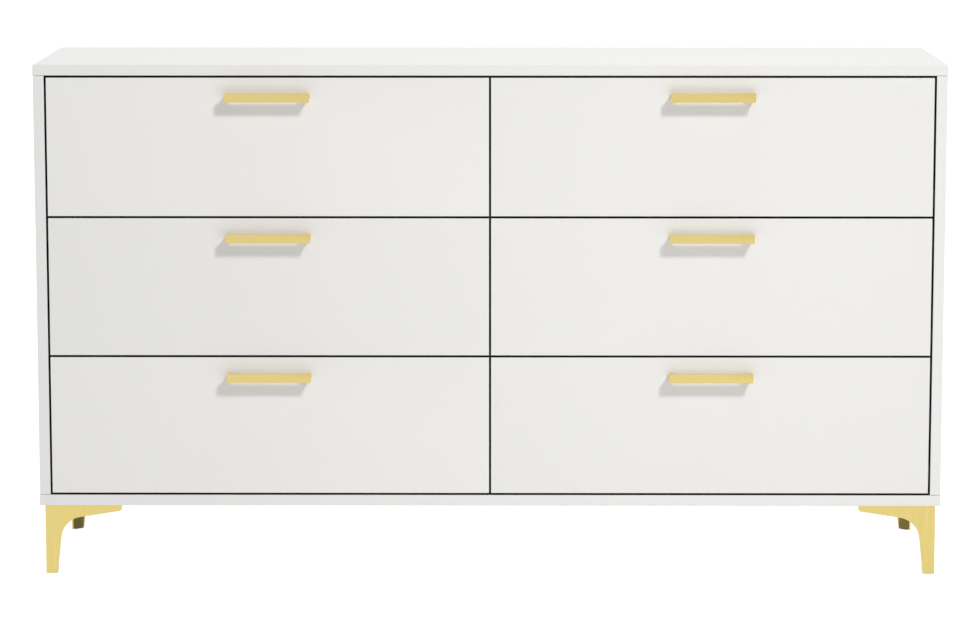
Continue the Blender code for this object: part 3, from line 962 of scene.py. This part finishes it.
def add_pull(drawer):
    low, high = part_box(drawer + "_handle")
    size = high - low
    bm = bmesh.new()
    bmesh.ops.create_cube(bm, size=1.0)
    bmesh.ops.scale(bm, vec=(size.x, BAR_THICKNESS, size.z), verts=bm.verts)
    bar_middle = Vector(((low.x + high.x) / 2, low.y + BAR_THICKNESS / 2, (low.z + high.z) / 2))
    bmesh.ops.translate(bm, vec=bar_middle, verts=bm.verts)
    cuts = [((x, 0, 0), (1, 0, 0)) for x in (low.x + POST_WIDTH, high.x - POST_WIDTH)]
    cuts += [((0, 0, bar_middle.z + side * POST_HEIGHT / 2), (0, 0, 1)) for side in (-1, 1)]
    for place, direction in cuts:
        bmesh.ops.bisect_plane(bm, geom=everything(bm), dist=TINY, plane_co=place, plane_no=direction)
    pads = []
    for face in bm.faces:
        offset = face.calc_center_median() - bar_middle
        if face.normal.y > 0.9 and abs(offset.x) > size.x / 4 and abs(offset.z) < POST_HEIGHT / 2:
            pads.append(face)
    posts = bmesh.ops.extrude_face_region(bm, geom=pads)
    ends = [g for g in posts["geom"] if isinstance(g, bmesh.types.BMVert)]
    bmesh.ops.translate(bm, vec=(0, size.y - BAR_THICKNESS, 0), verts=ends)
    bmesh.ops.delete(bm, geom=pads, context="FACES_ONLY")
    bmesh.ops.dissolve_limit(bm, angle_limit=FLAT, verts=bm.verts, edges=bm.edges)
    bmesh.ops.recalc_face_normals(bm, faces=bm.faces)
    inside = [e for e in bm.edges if e.calc_face_angle_signed() < -SHARP]
    round_edges(bm, inside, PULL_FILLET, 4)
    round_edges(bm, outer_edges(bm), PULL_RADIUS, 3)
    return add_piece(drawer + "_handle_bar_pull", bm, PULL_GOLD, drawer + "_drawer",
                     drawer + "_handle")


for drawer in DRAWERS:
    pull = add_pull(drawer)
print("a pull has", len(pull.data.polygons), "faces")

# %% [markdown]
# ## Floor, light and camera
#
# The dresser stands on a pale seamless floor. A real studio sweep is lit until it burns out to white,
# so the floor here both reflects and glows a little. A Light Path node tells the kinds of ray apart, so
# floor and sky are white to the camera, bright in the gold's reflections, and only a soft fill to the
# lacquer.

# %% Floor and sky
FLOOR_SIZE = 120.0
FLOOR_DROP = 0.0002
FLOOR_COLOR = 0.30
FLOOR_SEEN = 0.92
FLOOR_SHINE = 0.58
FLOOR_GLOW = 0.50
SKY_SEEN = 1.0
SKY_SHINE = 0.85
SKY_FILL = 0.33


def by_ray(tree, seen, mirrored, felt):
    """A value of its own for the camera, for reflections and for all other light."""
    path = add_node(tree, "ShaderNodeLightPath")
    other = add_node(tree, "ShaderNodeMapRange", To_Min=felt, To_Max=mirrored)
    value = add_node(tree, "ShaderNodeMix", B=seen)
    tree.links.new(path.outputs["Is Glossy Ray"], other.inputs["Value"])
    tree.links.new(path.outputs["Is Camera Ray"], value.inputs["Factor"])
    tree.links.new(other.outputs["Result"], value.inputs["A"])
    return value.outputs["Result"]


def make_floor():
    bm = bmesh.new()
    bmesh.ops.create_grid(bm, x_segments=1, y_segments=1, size=FLOOR_SIZE / 2)
    bmesh.ops.translate(bm, vec=(0, 0, -FLOOR_DROP), verts=bm.verts)
    mesh = bpy.data.meshes.new("studio_floor")
    bm.to_mesh(mesh)
    bm.free()
    floor = bpy.data.objects.new("studio_floor", mesh)
    bpy.context.scene.collection.objects.link(floor)
    material, tree, shader = new_finish("studio_white", Base_Color=(*[FLOOR_COLOR] * 3, 1), Roughness=0.9,
                                        Emission_Color=(1, 1, 1, 1))
    glow = by_ray(tree, FLOOR_SEEN, FLOOR_SHINE, FLOOR_GLOW)
    tree.links.new(glow, shader.inputs["Emission Strength"])
    mesh.materials.append(material)


def make_sky():
    world = bpy.data.worlds.new("studio_sky")
    bpy.context.scene.world = world
    world.use_nodes = True
    tree = world.node_tree
    background = tree.nodes["Background"]
    tree.links.new(by_ray(tree, SKY_SEEN, SKY_SHINE, SKY_FILL), background.inputs["Strength"])
    background.inputs["Color"].default_value = (1, 1, 1, 1)


make_floor()
make_sky()
bpy.context.scene.view_settings.view_transform = "Standard"
print("floor and sky set")

# %% [markdown]
# One main light stands high on the right and in front, a little over a metre across, so the pulls drop
# soft shadows down and to the left. A broad light overhead lifts the top panel, and a weak one near
# the floor stands for a bounce card. A last one lights the back from behind. All four are hidden from
# reflections: the satin and the gold mirror only the plain floor and sky, which keeps their tone even.


# %% Lights
def add_area(name, place, target, size, power, color):
    light = bpy.data.lights.new(name, "AREA")
    light.color = color
    light.shape = "DISK"
    light.size = size
    light.energy = power
    lamp = bpy.data.objects.new(name, light)
    lamp.location = place
    lamp.rotation_euler = (Vector(target) - Vector(place)).to_track_quat("-Z", "Y").to_euler()
    lamp.visible_camera = False
    bpy.context.scene.collection.objects.link(lamp)
    return lamp


MAIN_POWER = 281.0
OVERHEAD_POWER = 34.0
BOUNCE_POWER = 5.2
REAR_POWER = 105.0
WARM = (1.0, 0.985, 0.965)
COOL = (0.99, 0.995, 1.0)
top_low, top_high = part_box("top_panel")
front_y = top_low.y
middle = Vector((0, front_y, top_high.z / 2))
top_middle = Vector((0, 0, top_high.z))
main = add_area("main_light", middle + Vector((3.1, -5.1, 4.9)), middle, 1.2, MAIN_POWER, WARM)
overhead = add_area("overhead_light", (0.3, 0, 3.6), top_middle, 2.6, OVERHEAD_POWER, COOL)
bounce = add_area("bounce_light", (0.4, -1.8, 0.18), (0.2, front_y, 0.1), 1.0, BOUNCE_POWER, WARM)
rear = add_area("rear_light", (-2.4, 4.6, 2.6), top_middle / 2, 1.8, REAR_POWER, COOL)
for lamp in (main, overhead, bounce, rear):
    lamp.visible_glossy = False
print("four lights")

# %% [markdown]
# The camera stands six metres off at the height of a person's chest, with a long lens, and looks down
# at the middle of the fronts by about eight degrees.

# %% Camera
CAMERA_BACK = 6.0
CAMERA_RIGHT = 0.03
CAMERA_HEIGHT = 1.306
AIM_HEIGHT = 0.443
LENS = 134.7
camera_data = bpy.data.cameras.new("camera")
camera_data.lens = LENS
camera_data.sensor_width = 36.0
camera = bpy.data.objects.new("camera", camera_data)
camera.location = (CAMERA_RIGHT, front_y - CAMERA_BACK, CAMERA_HEIGHT)
aim = Vector((0, front_y, AIM_HEIGHT))
camera.rotation_euler = (aim - camera.location).to_track_quat("-Z", "Y").to_euler()
bpy.context.scene.collection.objects.link(camera)
bpy.context.scene.camera = camera
print("camera", [round(v, 3) for v in camera.location])
